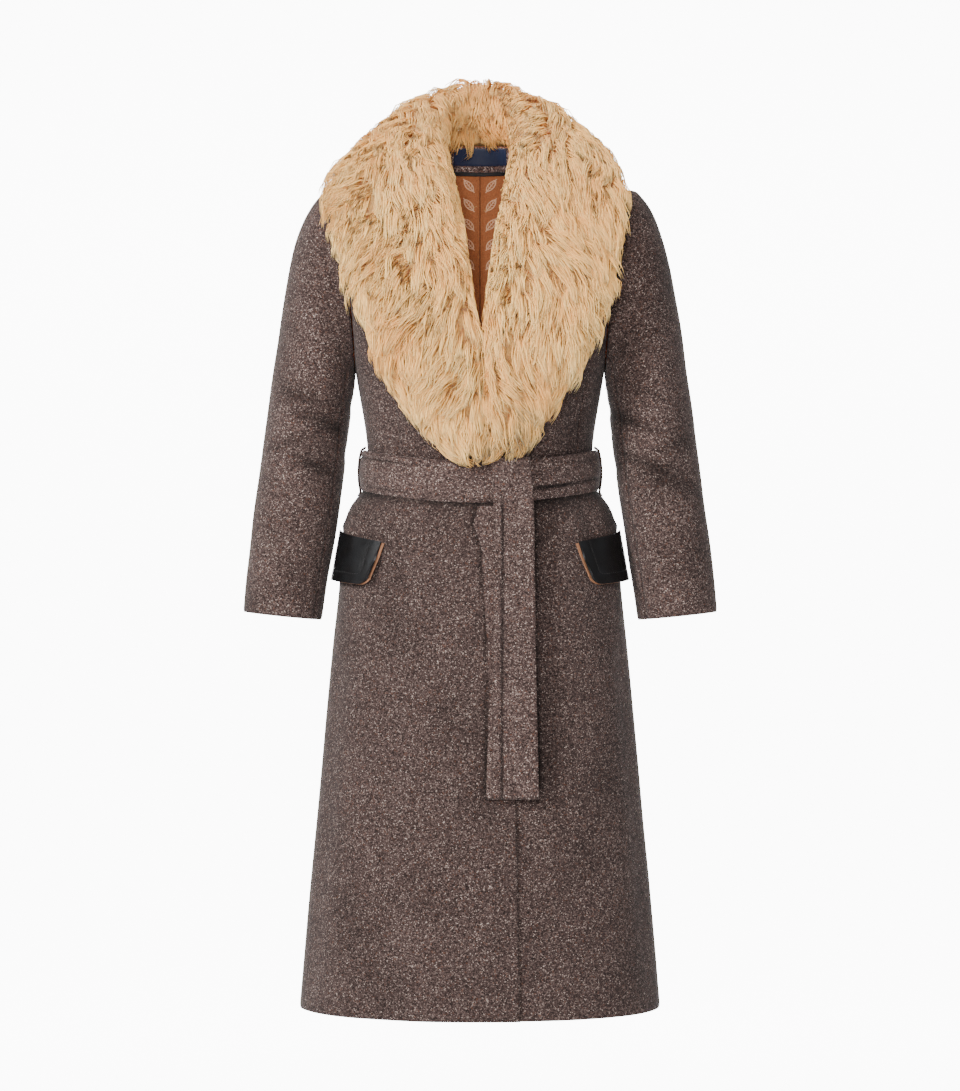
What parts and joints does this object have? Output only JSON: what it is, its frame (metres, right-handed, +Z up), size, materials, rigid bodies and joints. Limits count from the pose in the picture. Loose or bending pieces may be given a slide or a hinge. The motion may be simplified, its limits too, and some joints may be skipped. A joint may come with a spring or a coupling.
{
  "type": "wrap coat",
  "caption": "Belted mid-calf wrap coat in brown tweed with a wide fur shawl collar and leather pocket flaps, hollow as worn",
  "frame": {"origin": "middle of the neck, level with the side of the neck seam, where the wearer's neck and shoulders hold the coat", "axes": "+Z up, -Y the coat's front, +X the wearer's left"},
  "size_m": [0.6044, 0.3173, 1.1995],
  "materials": {
    "tweed": "woven wool twill, matt, taupe with light and rust flecks",
    "fur": "long cream and peach fur in soft waves",
    "black_leather": "smooth black leather with a soft sheen, top stitched",
    "tan_leather": "tan leather, matt",
    "black_binding": "black satin binding",
    "navy_satin": "navy satin weave, plain"
  },
  "bodies": {
    "root": {"back_left": "tweed", "back_right": "tweed", "front_left": "tweed", "front_right": "tweed", "sleeve_upper_left": "tweed", "sleeve_upper_right": "tweed", "sleeve_under_left": "tweed", "sleeve_under_right": "tweed", "belt_loop_left": "tweed", "belt_loop_right": "tweed", "belt_band": "tweed", "belt_end_front": "tweed", "belt_end_back": "tweed", "neck_facing": "tweed", "collar_left": "fur", "collar_right": "fur", "pocket_flap_left": "black_leather", "pocket_flap_right": "black_leather", "flap_lining_left": "tan_leather", "flap_lining_right": "tan_leather", "neck_binding": "black_binding", "neck_label": "navy_satin"}
  },
  "joints": []
}
